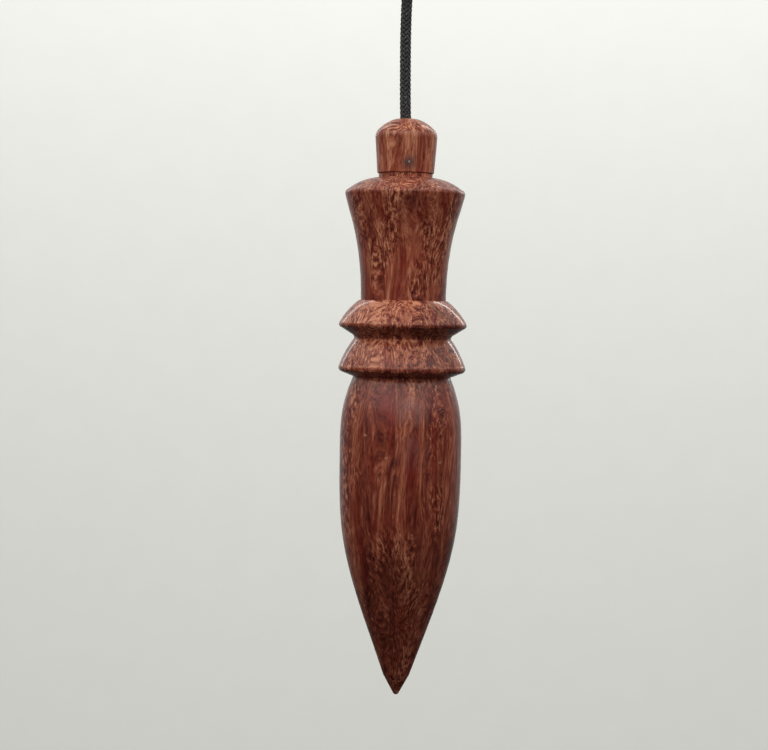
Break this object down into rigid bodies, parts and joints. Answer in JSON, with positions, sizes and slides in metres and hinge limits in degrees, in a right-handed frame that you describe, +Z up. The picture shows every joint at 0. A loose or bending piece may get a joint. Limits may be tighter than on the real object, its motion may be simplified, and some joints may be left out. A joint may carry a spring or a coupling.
{
  "type": "plumb bob",
  "caption": "Turned hardwood plumb bob with a long drop point, sharp collars, a flared waist and a screw cap, hung on a braided cord with a finger bead.",
  "frame": {"origin": "the tip of the bob's point, with the bob hanging at rest", "axes": "+Z up the bob's axis, along the taut cord; -Y is the front, where the brad in the cap shows, 6 degrees towards +X"},
  "size_m": [0.0222, 0.0222, 0.1362],
  "materials": {
    "wood_body": "gloss varnish",
    "wood_cap": "gloss varnish",
    "wood_dowel": "bare wood",
    "wood_bead": "gloss varnish",
    "steel_brad": "bright, darkened at the edge",
    "cord": "braided polyester"
  },
  "bodies": {
    "grip": {"finger_bead": "wood_bead", "top_knot": "cord", "cord_in_bead": "cord"},
    "bend": {"cord_bend": "cord"},
    "line": {"cord_line": "cord"},
    "cord_end": {"cord_knot": "cord"},
    "cap": {"cap": "wood_cap", "cap_dowel": "wood_dowel", "cap_brad": "steel_brad"},
    "bob": {"bob_body": "wood_body"}
  },
  "joints": [
    {"name": "swing_sideways", "type": "hinge", "parent": "grip", "child": "bend", "pos_m": [0, 0, 0.12525], "axis": [0, 1, 0], "range_deg": [-40, 40]},
    {"name": "swing_front_back", "type": "hinge", "parent": "bend", "child": "line", "pos_m": [0, 0, 0.12525], "axis": [1, 0, 0], "range_deg": [-40, 40]},
    {"name": "bob_spin", "type": "hinge", "parent": "line", "child": "cord_end", "pos_m": [0, 0, 0.08285], "axis": [0, 0, 1], "continuous": true},
    {"name": "cap_turn", "type": "hinge", "parent": "cord_end", "child": "cap", "pos_m": [0, 0, 0.0909], "axis": [0, 0, 1], "range_deg": [0, 1920]},
    {"name": "bob_drop", "type": "slide", "parent": "cord_end", "child": "bob", "axis": [0, 0, -1], "range_m": [0, 0.008]}
  ],
  "couplings": [
    {"joint": "cap_turn", "follows": "bob_drop", "rad_per_m": 4188.8}
  ]
}
